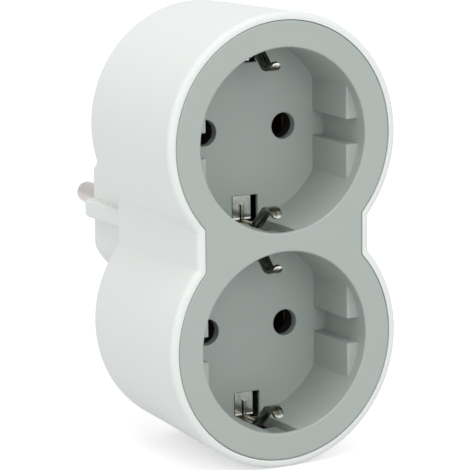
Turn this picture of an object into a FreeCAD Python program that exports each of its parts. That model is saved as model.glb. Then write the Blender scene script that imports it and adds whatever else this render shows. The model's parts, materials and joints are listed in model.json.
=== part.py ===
import FreeCAD, Part
import Sketcher
import math
import os
from FreeCAD import Vector

# A plug-in adapter with two recessed earthed sockets in front and an earthed two-pin plug behind.
# The origin is the centre of the plug's face. +Z is up, +Y points out along the plug's pins, and the
# sockets face -Y. Depths are measured from the plug's face towards the sockets, along -Y.

# Points nearer than this are one point, and an edge is judged by this many points along it
SAME_PLACE = 1e-4
POINTS_ON_EDGE = 5

SIZES = {
    # Sockets
    "pin_spacing": (19.0, "between the two pin holes, and between the two plug pins"),
    "recess_land": (4.0, "between the mouths of the two recesses"),
    "recess_margin": (10.0, "from a pin hole's axis to the wall of a recess"),
    "recess_depth": (17.5, "from the front face to the floor of a recess"),
    "pin_hole_gap": (0.45, "round a plug pin in a recess floor"),
    "floor_thickness": (2.0, "floor of a recess"),
    "plate_thickness": (2.2, "front plate of the insert"),
    "cup_wall": (2.6, "wall round a recess"),
    "insert_edge_round": (0.35, "rounded edges of the front face of the insert"),
    "guide_height": (2.8, "guide block, from the recess wall in to its flat"),
    "guide_set_back": (3.0, "from the front face to the end of a guide block"),
    "guide_groove_width": (5.4, "groove between the two halves of a guide block"),
    "bow_side_gap": (0.9, "between an edge of an earth bow and its channel"),
    "channel_depth": (1.4, "channel for an earth hook, out from the recess wall"),
    "window_length": (7.0, "opening in the bottom of that channel, from the floor forward"),
    "guide_round": (0.3, "rounded edges of the ends of the guide blocks"),
    "channel_set_back": (1.0, "from the front face to the end of that channel"),
    "slot_length": (6.65, "floor slot for an earth bow, in from the bottom of its channel"),
    "bed_floor": (0.8, "floor of a recess in front of the bed for an earth bow"),
    "bed_margin": (1.4, "that bed, out from the edges of the slots"),
    # Housing
    "shell_depth": (40.0, "sleeve, from its back face to its front edge"),
    "shell_wall": (1.7, "wall of the sleeve"),
    "back_wall": (1.6, "back wall of the sleeve"),
    "front_rim": (7.5, "front of the sleeve, out from a recess wall"),
    "sleeve_taper": (1.65, "radius that the sleeve loses towards its back"),
    "front_waist_rise": (3.65, "half height of the waist's straight side at the front"),
    "back_waist_rise": (4.85, "the same at the back"),
    "waist_blend": (0.6, "rounding where the waist meets the round ends"),
    "front_edge_round": (1.1, "rounded outer front edge"),
    "back_edge_round": (0.9, "rounded back edge"),
    "insert_gap": (0.1, "round the insert in the sleeve"),
    # Plug
    "plug_reach": (17.4, "from the sleeve's back face to the plug's face"),
    "plug_play": (0.8, "plug body, in from the wall of the recess that it fits"),
    "plug_flat_cut": (2.4, "flat of the plug, in from its round"),
    "plug_wall": (2.0, "wall of the plug body"),
    "plug_face_thickness": (2.5, "wall behind the plug's face"),
    "plug_edge_round": (0.8, "rounded edge of the plug's face"),
    "rib_width": (4.0, "guide rib on a flat"),
    "rib_chamfer": (0.6, "chamfered edges of a guide rib"),
    "rib_height": (2.2, "guide rib, out from its flat"),
    "earth_pocket_cut": (3.3, "pocket for an earth contact, in from the round of the plug"),
    "earth_pocket_gap": (0.9, "beside an earth contact in its pocket"),
    # Plug pins
    "pin_radius": (2.4, "round plug pin"),
    "pin_length": (19.5, "from the plug's face to the tip of a pin"),
    "pin_tip_round": (2.0, "rounded end of a pin"),
    "shank_step": (0.2, "radius that a pin loses inside the plug"),
    "spigot_step": (0.7, "radius that it loses again at its spigot, which passes through its bar"),
    "spigot_head_rim": (0.9, "riveted head, out from the spigot"),
    "spigot_head_height": (0.6, "height of that head"),
    "spigot_head_round": (0.3, "rounded edge of that head"),
    "pin_gap": (0.05, "round a pin in the plug's face"),
    # Poles
    "bar_thickness": (0.8, "line and neutral bars"),
    "bar_width": (6.0, "line and neutral bars"),
    "bar_overhang": (4.6, "bar past the centre of a socket"),
    "clip_thickness": (0.5, "sheet of a socket clip"),
    "clip_width": (6.4, "along the height of the adapter"),
    "clip_room": (0.5, "middle of a clip arm from the surface of a pin, at the base"),
    "clip_squeeze": (0.05, "middle of an arm inside the surface of a pin, at the grip"),
    "clip_flare": (0.9, "middle of an arm from the surface of a pin, at the mouth"),
    "clip_lip": (0.9, "straight lip at the mouth of a clip"),
    "clip_pinch_drop": (4.0, "from the mouth of the clip to the grip, and on to its shoulder"),
    "clip_clearance": (0.6, "round a clip in its chamber"),
    "clip_bend": (0.7, "bend in a clip, to the middle of its sheet"),
    # Earth
    "earth_thickness": (0.8, "sheet of the earth pieces"),
    "bow_carrier_gap": (1.95, "between an earth bow and the chambers beside it"),
    "bow_gap": (0.65, "between the floor of its bed and a bow"),
    "bow_drop": (0.45, "centre of a bow below the centre of its socket"),
    "riser_gap": (0.55, "between a hook's riser and the bottom of its channel"),
    "hook_width": (2.45, "strip of an earth hook"),
    "hook_foot": (12.9, "end of the riser, from the front face"),
    "hook_ramp_end": (7.0, "end of the ramp, from the front face"),
    "hook_rise": (5.15, "from the riser in to the crest, between the middles of the sheet"),
    "hook_tip": (3.9, "end of the crest, from the front face"),
    "hook_lean": (0.6, "lean of the curled tip towards the front face"),
    "hook_curl": (1.7, "from the crest out to the end of the curled tip"),
    "hook_bend": (1.2, "bends of a bow and of a hook's foot, to the middle of the sheet"),
    "crest_bend": (2.3, "bends at a hook's crest"),
    "hook_end_round": (1.15, "rounded corners at the end of a hook"),
    "bead_radius": (0.5, "pressed stiffening bead along a bow"),
    "bead_groove": (0.4, "groove of that bead on the other face of a hook"),
    "bead_length": (4.05, "the bead's reach in from the riser"),
    "bead_end": (8.4, "end of the bead on the ramp, from the front face"),
    "earth_bar_step": (0.2, "bar that joins the two bows, in from their edges"),
    "earth_bar_overhang": (4.0, "that bar past the centre of a socket"),
    "plug_strip_step": (0.5, "strip to an earth contact, out from the edges of the bow"),
    "plug_strip_overhang": (3.5, "that strip past the centre of a socket"),
    "plug_strip_bend": (1.2, "bend of that strip, to the middle of its sheet"),
    "plug_strip_set_back": (1.2, "from the plug's face to the end of an earth contact"),
    "strip_slot_gap": (0.2, "round a strip where it passes the back wall"),
    "rivet_radius": (1.0, "earth rivet"),
    "rivet_head_rim": (0.8, "head of an earth rivet, out from its shank"),
    "rivet_head_height": (0.55, "head of an earth rivet"),
    "rivet_head_gap": (0.3, "round a rivet's head in a carrier"),
    # Contact carriers
    "carrier_wall": (1.2, "side wall of a chamber"),
    "carrier_front": (3.2, "front wall of a chamber"),
    "carrier_hole_gap": (0.25, "of a chamber's hole round the pin hole in front of it"),
    "web_half_height": (3.0, "web between the two chambers of a carrier"),
    "web_thickness": (2.4, "the same web, along the depth"),
    "holder_gap": (0.1, "round the pin holder in the plug"),
    # Screws
    "screw_side": (13.6, "screws, from the adapter's middle plane"),
    "screw_lift": (12.9, "screws, beyond the centre of a socket"),
    "screw_radius": (1.4, "screw thread, outside"),
    "screw_length": (11.0, "screw under its head"),
    "screw_point": (1.2, "pointed end of a screw"),
    "screw_head_rim": (1.2, "screw head, out from the thread"),
    "screw_head_height": (1.9, "screw head"),
    "screw_head_round": (0.6, "rounded edge of a screw head"),
    "screw_set_in": (5.0, "from the back face to the seat of a screw head"),
    "screw_seat": (2.0, "wall under a screw head"),
    "screw_gap": (0.3, "round a screw and its head in the shell"),
    "screw_tip_room": (1.0, "pilot hole past the tip of a screw"),
    "boss_wall": (1.3, "wall of a screw boss"),
    "cross_width": (0.8, "cross recess of a screw"),
    "cross_length": (3.0, "cross recess of a screw"),
    "cross_depth": (1.0, "cross recess of a screw"),
}

doc = FreeCAD.newDocument("socket_adapter")
sheet = doc.addObject("Spreadsheet::Sheet", "Sizes")
for row, (alias, (number, note)) in enumerate(SIZES.items(), start=1):
    sheet.set(f"A{row}", alias)
    sheet.set(f"B{row}", str(number))
    sheet.set(f"C{row}", note)
    sheet.setAlias(f"B{row}", alias)
doc.recompute()


def size(text):
    """Turns names of sizes written as [name] into references to the sheet."""
    return text.replace("[", "Sizes.").replace("]", "")


def value_of(text):
    """The number that an expression has now."""
    return float(sheet.evalExpression(size(text)))


def point_at(across, up):
    return Vector(value_of(across), value_of(up), 0)


# Depths from the plug's face and heights that several pieces share
BACK = size("[plug_reach]")
FRONT = size("([plug_reach] + [shell_depth])")
FLOOR_FRONT = size(f"({FRONT} - [recess_depth])")
FLOOR_BACK = size(f"({FLOOR_FRONT} - [floor_thickness])")
BAR_BACK = size("([plug_reach] + [back_wall])")
BAR_FRONT = size(f"({BAR_BACK} + [bar_thickness])")
BOW_FRONT = size(f"({FLOOR_FRONT} - [bed_floor] - [bow_gap])")
BOW_BACK = size(f"({BOW_FRONT} - [earth_thickness])")
EARTH_BAR_BACK = size(f"({BOW_BACK} - [earth_thickness])")
STRIP_BACK = size(f"({EARTH_BAR_BACK} - [earth_thickness])")
POLE_SIDE = size("([pin_spacing] / 2)")
RECESS_RADIUS = size(f"({POLE_SIDE} + [recess_margin])")
SOCKET_HEIGHT = size(f"({RECESS_RADIUS} + [recess_land] / 2)")
SCREW_HEIGHT = size(f"({SOCKET_HEIGHT} + [screw_lift])")
SCREW_SEAT = size("([plug_reach] + [screw_set_in])")
BOSS_MEET = size(f"({SCREW_SEAT} + [screw_seat])")
SCREW_HEAD_RADIUS = size("([screw_radius] + [screw_head_rim])")

# The sleeve's round ends, and its waist, which follows the round ends and their spacing
FRONT_RADIUS = size(f"({RECESS_RADIUS} + [front_rim])")
BACK_RADIUS = size(f"({FRONT_RADIUS} - [sleeve_taper])")


def waist_half_width(radius, rise):
    """Where the waist line leaves round ends of a radius, at a height above the middle."""
    reach = f"({radius} + [waist_blend])"
    drop = f"({SOCKET_HEIGHT} - {rise})"
    return size(f"(sqrt({reach} * {reach} - {drop} * {drop}) - [waist_blend])")


FRONT_WAIST = waist_half_width(FRONT_RADIUS, "[front_waist_rise]")
BACK_WAIST = waist_half_width(BACK_RADIUS, "[back_waist_rise]")

# Places in a socket, from its centre
GUIDE_SPAN = size(f"({RECESS_RADIUS} - [guide_height])")
PIN_HOLE_RADIUS = size("([pin_radius] + [pin_hole_gap])")
CHAMBER_HALF = size("([pin_radius] + [clip_flare] + [clip_thickness] / 2 + [clip_clearance])")
BOW_HALF = size(f"({POLE_SIDE} - {CHAMBER_HALF} - [carrier_wall] - [bow_carrier_gap])")
STRIP_HALF = size(f"({BOW_HALF} + [plug_strip_step])")
CHANNEL_HALF = size(f"({BOW_HALF} + [bow_side_gap])")
CHANNEL_BOTTOM = size(f"({RECESS_RADIUS} + [channel_depth])")
RISER = size(f"({CHANNEL_BOTTOM} - [riser_gap] - [earth_thickness] / 2)")
CREST = size(f"({RISER} - [hook_rise])")

# Places in the plug, from its axis, and radii of its pins
PLUG_RADIUS = size(f"({RECESS_RADIUS} - [plug_play])")
PLUG_FLAT = size(f"({PLUG_RADIUS} - [plug_flat_cut])")
EARTH_POCKET = size(f"({PLUG_RADIUS} - [earth_pocket_cut])")
SHANK_RADIUS = size("([pin_radius] - [shank_step])")
SPIGOT_RADIUS = size(f"({SHANK_RADIUS} - [spigot_step])")


def new_body(label):
    body = doc.addObject("PartDesign::Body", label)
    body.Label = label
    return body


def origin_feature(body, role):
    return next(f for f in body.Origin.OriginFeatures if f.Role == role)


def new_sketch(body, name, plane, offset="0"):
    """A sketch on one of the body's own planes. On XZ_Plane its offset is a depth."""
    sketch = body.newObject("Sketcher::SketchObject", name)
    sketch.AttachmentSupport = [(origin_feature(body, plane), "")]
    sketch.MapMode = "FlatFace"
    sketch.setExpression("AttachmentOffset.Base.z", size(offset))
    doc.recompute()
    return sketch


def constrain(sketch, kind, *where, to=None):
    """Adds a constraint, and binds its value to an expression where it has one."""
    if to is None:
        return sketch.addConstraint(Sketcher.Constraint(kind, *where))
    index = sketch.addConstraint(Sketcher.Constraint(kind, *where, value_of(to)))
    sketch.setExpression(f"Constraints[{index}]", size(to))
    return index


def tie_point(sketch, geometry, end, across, up):
    constrain(sketch, "DistanceX", -1, 1, geometry, end, to=across)
    constrain(sketch, "DistanceY", -1, 1, geometry, end, to=up)


def draw_circle(sketch, across, up, radius):
    centre = point_at(across, up)
    index = sketch.addGeometry(Part.Circle(centre, Vector(0, 0, 1), 1.0))
    constrain(sketch, "Radius", index, to=radius)
    tie_point(sketch, index, 3, across, up)
    return index


def draw_polygon(sketch, corners):
    """A closed outline of straight edges through corners that are pairs of expressions."""
    points = [point_at(*corner) for corner in corners]
    count = len(points)
    first = None
    for k, point in enumerate(points):
        index = sketch.addGeometry(Part.LineSegment(point, points[(k + 1) % count]))
        first = index if first is None else first
        if k:
            constrain(sketch, "Coincident", index - 1, 2, index, 1)
        tie_point(sketch, index, 1, *corners[k])
    constrain(sketch, "Coincident", first + count - 1, 2, first, 1)


def draw_box(sketch, left, right, low, high):
    draw_polygon(sketch, [(left, low), (right, low), (right, high), (left, high)])


def short_arc(centre, one, two):
    """The shorter arc about a centre between two points, drawn anticlockwise as sketches need."""
    start = math.atan2(one.y - centre.y, one.x - centre.x)
    end = math.atan2(two.y - centre.y, two.x - centre.x)
    if (end - start) % (2 * math.pi) > math.pi:
        start, end = end, start
    circle = Part.Circle(centre, Vector(0, 0, 1), one.distanceToPoint(centre))
    return Part.ArcOfCircle(circle, start, end)


def draw_bent_path(sketch, corners, bends):
    """An open path through corners, each inner corner rounded by a tangent arc of its own radius."""
    points = [point_at(*corner) for corner in corners]
    starts = [points[0]]
    ends = []
    arcs = []
    for before, here, after, bend in zip(points, points[1:], points[2:], bends):
        radius = value_of(bend)
        one = (before - here).normalize()
        two = (after - here).normalize()
        half = one.getAngle(two) / 2
        inward = (one + two).normalize()
        centre = here + inward * (radius / math.sin(half))
        enter = here + one * (radius / math.tan(half))
        leave = here + two * (radius / math.tan(half))
        ends.append(enter)
        starts.append(leave)
        arcs.append(short_arc(centre, enter, leave))
    ends.append(points[-1])
    lines = [
        sketch.addGeometry(Part.LineSegment(a, b)) for a, b in zip(starts, ends)
    ]
    for k, arc in enumerate(arcs):
        index = sketch.addGeometry(arc)
        circle = sketch.Geometry[index]
        forward = circle.StartPoint.distanceToPoint(ends[k]) < SAME_PLACE
        near, far = (1, 2) if forward else (2, 1)
        constrain(sketch, "Tangent", lines[k], 2, index, near)
        constrain(sketch, "Tangent", lines[k + 1], 1, index, far)
        constrain(sketch, "Radius", index, to=bends[k])
        corner = sketch.addGeometry(Part.Point(points[k + 1]), True)
        tie_point(sketch, corner, 1, *corners[k + 1])
        constrain(sketch, "PointOnObject", corner, 1, lines[k])
        constrain(sketch, "PointOnObject", corner, 1, lines[k + 1])
    tie_point(sketch, lines[0], 1, *corners[0])
    tie_point(sketch, lines[-1], 2, *corners[-1])


def draw_waisted_outline(sketch, radius, waist, blend=None):
    """Two round ends about the socket centres, joined by two straight waist lines."""
    centre_z = value_of(SOCKET_HEIGHT)
    end_r = value_of(radius)
    side = value_of(waist)
    small = value_of(blend) if blend else 0.0
    # The blend's centre is a blend radius outside the waist line and outside the round end
    reach = end_r + small
    lean = math.acos((side + small) / reach)
    meet_z = centre_z - reach * math.sin(lean)
    top = Part.Circle(Vector(0, centre_z, 0), Vector(0, 0, 1), end_r)
    bottom = Part.Circle(Vector(0, -centre_z, 0), Vector(0, 0, 1), end_r)
    left_line = Part.LineSegment(Vector(-side, meet_z, 0), Vector(-side, -meet_z, 0))
    right_line = Part.LineSegment(Vector(side, -meet_z, 0), Vector(side, meet_z, 0))
    upper = sketch.addGeometry(Part.ArcOfCircle(top, -lean, math.pi + lean))
    lower = sketch.addGeometry(Part.ArcOfCircle(bottom, math.pi - lean, 2 * math.pi + lean))
    left = sketch.addGeometry(left_line)
    right = sketch.addGeometry(right_line)
    tie_point(sketch, upper, 3, "0", SOCKET_HEIGHT)
    tie_point(sketch, lower, 3, "0", f"-{SOCKET_HEIGHT}")
    constrain(sketch, "Radius", upper, to=radius)
    constrain(sketch, "Radius", lower, to=radius)
    constrain(sketch, "Vertical", left)
    constrain(sketch, "Vertical", right)
    constrain(sketch, "DistanceX", -1, 1, left, 1, to=f"-({waist})")
    constrain(sketch, "DistanceX", -1, 1, right, 1, to=waist)
    corners = (
        (upper, 2, left, 1, -1, 1),
        (lower, 1, left, 2, -1, -1),
        (lower, 2, right, 1, 1, -1),
        (upper, 1, right, 2, 1, 1),
    )
    for arc, arc_end, line, line_end, toward_x, toward_z in corners:
        if blend is None:
            constrain(sketch, "Coincident", arc, arc_end, line, line_end)
            continue
        middle = Vector(toward_x * (side + small), toward_z * meet_z, 0)
        on_line = Vector(toward_x * side, toward_z * meet_z, 0)
        on_arc = middle - Vector(
            toward_x * small * math.cos(lean), -toward_z * small * math.sin(lean), 0
        )
        index = sketch.addGeometry(short_arc(middle, on_arc, on_line))
        starts_on_arc = sketch.Geometry[index].StartPoint.distanceToPoint(on_arc) < SAME_PLACE
        near, far = (1, 2) if starts_on_arc else (2, 1)
        constrain(sketch, "Tangent", arc, arc_end, index, near)
        constrain(sketch, "Tangent", line, line_end, index, far)
        constrain(sketch, "Radius", index, to=blend)


def pad(body, sketch, name, length):
    """Pads a sketch towards the sockets when it lies on XZ_Plane."""
    feature = body.newObject("PartDesign::Pad", name)
    feature.Profile = sketch
    feature.setExpression("Length", size(length))
    doc.recompute()
    return feature


def pocket(body, sketch, name, length):
    """Cuts a sketch away towards the sockets, and makes sure that it did cut."""
    before = body.Shape.Volume
    feature = body.newObject("PartDesign::Pocket", name)
    feature.Profile = sketch
    feature.Reversed = True
    feature.setExpression("Length", size(length))
    doc.recompute()
    if not body.Shape.Volume < before - SAME_PLACE:
        raise RuntimeError(f"{body.Label}: {name} cuts nothing")
    return feature


def loft(body, kind, name, back_sketch, front_sketch):
    feature = body.newObject(kind, name)
    feature.Profile = back_sketch
    feature.Sections = [front_sketch]
    feature.Ruled = True
    doc.recompute()
    return feature


def pipe(body, name, section, path, kind="PartDesign::AdditivePipe"):
    feature = body.newObject(kind, name)
    feature.Profile = section
    feature.Spine = (path, [])
    doc.recompute()
    return feature


def revolve(body, sketch, name, axis="V_Axis"):
    feature = body.newObject("PartDesign::Revolution", name)
    feature.Profile = sketch
    feature.ReferenceAxis = (sketch, [axis])
    feature.Angle = 360
    doc.recompute()
    return feature


def mirror(body, name, originals, role="XY_Plane"):
    """Repeats features on the other side of one of the body's own planes."""
    feature = body.newObject("PartDesign::Mirrored", name)
    feature.Originals = originals
    feature.MirrorPlane = (origin_feature(body, role), [""])
    body.Tip = feature
    doc.recompute()
    return feature


def round_edges(body, name, chosen, radius):
    """Rounds every edge of the body whose points along it all pass a rule."""
    base = body.Tip
    names = [
        f"Edge{k}"
        for k, edge in enumerate(base.Shape.Edges, start=1)
        if not edge.Degenerated and all(chosen(p) for p in edge.discretize(POINTS_ON_EDGE))
    ]
    feature = body.newObject("PartDesign::Fillet", name)
    feature.Base = (base, names)
    feature.setExpression("Radius", size(radius))
    doc.recompute()
    return feature


def round_edges_at(body, name, depth, radius):
    """Rounds every edge of the body that lies in the plane at one depth."""
    level = -value_of(depth)
    return round_edges(body, name, lambda p: abs(p.y - level) < SAME_PLACE, radius)


def draw_flatted_circle(sketch, up, radius, half, flats="upright"):
    """A circle cut by two parallel lines, upright ones at its sides or level ones above and below."""
    centre = point_at("0", up)
    r = value_of(radius)
    flat = value_of(half)
    turn = 0.0 if flats == "upright" else math.pi / 2
    open_angle = math.acos(flat / r)
    circle = Part.Circle(centre, Vector(0, 0, 1), r)
    one = Part.ArcOfCircle(circle, turn + open_angle, turn + math.pi - open_angle)
    two = Part.ArcOfCircle(circle, turn + math.pi + open_angle, turn - open_angle)
    first = sketch.addGeometry(one)
    second = sketch.addGeometry(two)
    near = sketch.addGeometry(Part.LineSegment(two.EndPoint, one.StartPoint))
    far = sketch.addGeometry(Part.LineSegment(one.EndPoint, two.StartPoint))
    constrain(sketch, "Coincident", second, 2, near, 1)
    constrain(sketch, "Coincident", near, 2, first, 1)
    constrain(sketch, "Coincident", first, 2, far, 1)
    constrain(sketch, "Coincident", far, 2, second, 1)
    tie_point(sketch, first, 3, "0", up)
    constrain(sketch, "Coincident", first, 3, second, 3)
    constrain(sketch, "Radius", first, to=radius)
    if flats == "upright":
        constrain(sketch, "Vertical", near)
        constrain(sketch, "Vertical", far)
        constrain(sketch, "DistanceX", -1, 1, near, 1, to=half)
        constrain(sketch, "DistanceX", -1, 1, far, 1, to=f"-({half})")
    else:
        constrain(sketch, "Horizontal", near)
        constrain(sketch, "Horizontal", far)
        constrain(sketch, "DistanceY", -1, 1, near, 1, to=f"({up}) + {half}")
        constrain(sketch, "DistanceY", -1, 1, far, 1, to=f"({up}) - {half}")


def sleeve_size(back, front, depth):
    """A size of the tapered sleeve at one depth, between its back and its front value."""
    share = f"(({depth}) - [plug_reach]) / [shell_depth]"
    return f"({back} + ({front} - {back}) * {share})"


def housing_shell():
    """The white moulding: a tapered waisted sleeve with a back wall, and the hollow plug body."""
    body = new_body("housing_shell")
    outer_back = new_sketch(body, "sleeve_back", "XZ_Plane", BACK)
    draw_waisted_outline(outer_back, BACK_RADIUS, BACK_WAIST, "[waist_blend]")
    outer_front = new_sketch(body, "sleeve_front", "XZ_Plane", FRONT)
    draw_waisted_outline(outer_front, FRONT_RADIUS, FRONT_WAIST, "[waist_blend]")
    loft(body, "PartDesign::AdditiveLoft", "sleeve", outer_back, outer_front)
    round_edges_at(body, "front_edge", FRONT, "[front_edge_round]")
    round_edges_at(body, "back_edge", BACK, "[back_edge_round]")

    plug = new_sketch(body, "plug_outline", "XZ_Plane")
    draw_circle(plug, "0", "0", PLUG_RADIUS)
    pad(body, plug, "plug_body", BAR_BACK)
    round_edges_at(body, "plug_edge", "0", "[plug_edge_round]")
    flats = new_sketch(body, "plug_flat_outline", "XZ_Plane")
    for side in ("-", ""):
        beyond = f"{side}({PLUG_RADIUS} + [plug_wall])"
        draw_box(flats, f"{side}{PLUG_FLAT}", beyond, f"-{PLUG_RADIUS}", PLUG_RADIUS)
    pocket(body, flats, "plug_flats", BACK)
    ribs = new_sketch(body, "rib_outline", "XZ_Plane")
    rib_end = f"({PLUG_FLAT} + [rib_height])"
    rib_cut = f"({rib_end} - [rib_chamfer])"
    edge = "([rib_width] / 2)"
    edge_cut = "([rib_width] / 2 - [rib_chamfer])"
    draw_polygon(ribs, [
        (f"-{rib_cut}", f"-{edge}"), (rib_cut, f"-{edge}"), (rib_end, f"-{edge_cut}"),
        (rib_end, edge_cut), (rib_cut, edge), (f"-{rib_cut}", edge),
        (f"-{rib_end}", edge_cut), (f"-{rib_end}", f"-{edge_cut}"),
    ])
    pad(body, ribs, "guide_ribs", BAR_BACK)

    inner_back = new_sketch(body, "cavity_back", "XZ_Plane", BAR_BACK)
    inner_front = new_sketch(body, "cavity_front", "XZ_Plane", FRONT)
    for sketch, depth in ((inner_back, BAR_BACK), (inner_front, FRONT)):
        radius = sleeve_size(BACK_RADIUS, FRONT_RADIUS, depth)
        waist = sleeve_size(BACK_WAIST, FRONT_WAIST, depth)
        draw_waisted_outline(
            sketch, f"{radius} - [shell_wall]", f"{waist} - [shell_wall]", "[waist_blend]"
        )
    loft(body, "PartDesign::SubtractiveLoft", "cavity", inner_back, inner_front)

    hollow = new_sketch(body, "plug_hollow_outline", "XZ_Plane", "[plug_face_thickness]")
    draw_hollow(hollow, "0")
    pocket(body, hollow, "plug_hollow", f"{BAR_BACK} - [plug_face_thickness]")
    holes = new_sketch(body, "pin_hole_outline", "XZ_Plane")
    for side in ("-", ""):
        draw_circle(holes, f"{side}{POLE_SIDE}", "0", "[pin_radius] + [pin_gap]")
    pocket(body, holes, "pin_holes", "[plug_face_thickness]")

    contact = new_sketch(body, "earth_pocket_outline", "XZ_Plane")
    slot = new_sketch(body, "strip_slot_outline", "XZ_Plane", BACK)
    half = f"({STRIP_HALF} + [earth_pocket_gap])"
    slot_half = f"({STRIP_HALF} + [strip_slot_gap])"
    slot_top = f"({EARTH_POCKET} + [earth_thickness] + [strip_slot_gap])"
    for lift in ("", "-"):
        bottom = f"{lift}{EARTH_POCKET}"
        draw_box(contact, f"-{half}", half, bottom, f"{lift}({PLUG_RADIUS} + [plug_wall])")
        draw_box(slot, f"-{slot_half}", slot_half, bottom, f"{lift}{slot_top}")
    pocket(body, contact, "earth_pockets", BACK)
    pocket(body, slot, "strip_slots", "[back_wall]")

    boss = new_sketch(body, "boss_outline", "XZ_Plane", BACK)
    seat_hole = new_sketch(body, "screw_hole_outline", "XZ_Plane", BACK)
    sink = new_sketch(body, "screw_sink_outline", "XZ_Plane", BACK)
    for side in ("-", ""):
        for lift in ("-", ""):
            spot = (f"{side}[screw_side]", f"{lift}{SCREW_HEIGHT}")
            draw_circle(boss, *spot, f"{SCREW_HEAD_RADIUS} + [screw_gap] + [boss_wall]")
            draw_circle(seat_hole, *spot, "[screw_radius] + [screw_gap]")
            draw_circle(sink, *spot, f"{SCREW_HEAD_RADIUS} + [screw_gap]")
    pad(body, boss, "screw_bosses", f"{BOSS_MEET} - {BACK}")
    pocket(body, seat_hole, "screw_holes", f"{BOSS_MEET} - {BACK}")
    pocket(body, sink, "screw_sinks", "[screw_set_in]")
    return body


def draw_hollow(sketch, gap):
    """The plug's inside: a circle cut by four flats, two at the sides and two at the earth pockets."""
    radius = f"({PLUG_RADIUS} - [plug_wall] - ({gap}))"
    side = f"({PLUG_FLAT} - [plug_wall] - ({gap}))"
    top = f"({EARTH_POCKET} - [plug_wall] - ({gap}))"
    r, x, z = (value_of(text) for text in (radius, side, top))
    low = math.acos(x / r)
    high = math.asin(z / r)
    circle = Part.Circle(Vector(0, 0, 0), Vector(0, 0, 1), r)
    spans = (
        (low, high),
        (math.pi - high, math.pi - low),
        (math.pi + low, math.pi + high),
        (2 * math.pi - high, 2 * math.pi - low),
    )
    arcs = [sketch.addGeometry(Part.ArcOfCircle(circle, *span)) for span in spans]
    flats = (
        ("Horizontal", "DistanceY", top),
        ("Vertical", "DistanceX", f"-{side}"),
        ("Horizontal", "DistanceY", f"-{top}"),
        ("Vertical", "DistanceX", side),
    )
    for k, (kind, distance, place) in enumerate(flats):
        one = arcs[k]
        two = arcs[(k + 1) % len(arcs)]
        ends = (sketch.Geometry[one].EndPoint, sketch.Geometry[two].StartPoint)
        line = sketch.addGeometry(Part.LineSegment(*ends))
        constrain(sketch, "Coincident", one, 2, line, 1)
        constrain(sketch, "Coincident", line, 2, two, 1)
        constrain(sketch, kind, line)
        constrain(sketch, distance, -1, 1, line, 1, to=place)
    tie_point(sketch, arcs[0], 3, "0", "0")
    constrain(sketch, "Radius", arcs[0], to=radius)
    for arc in arcs[1:]:
        constrain(sketch, "Coincident", arcs[0], 3, arc, 3)


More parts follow.
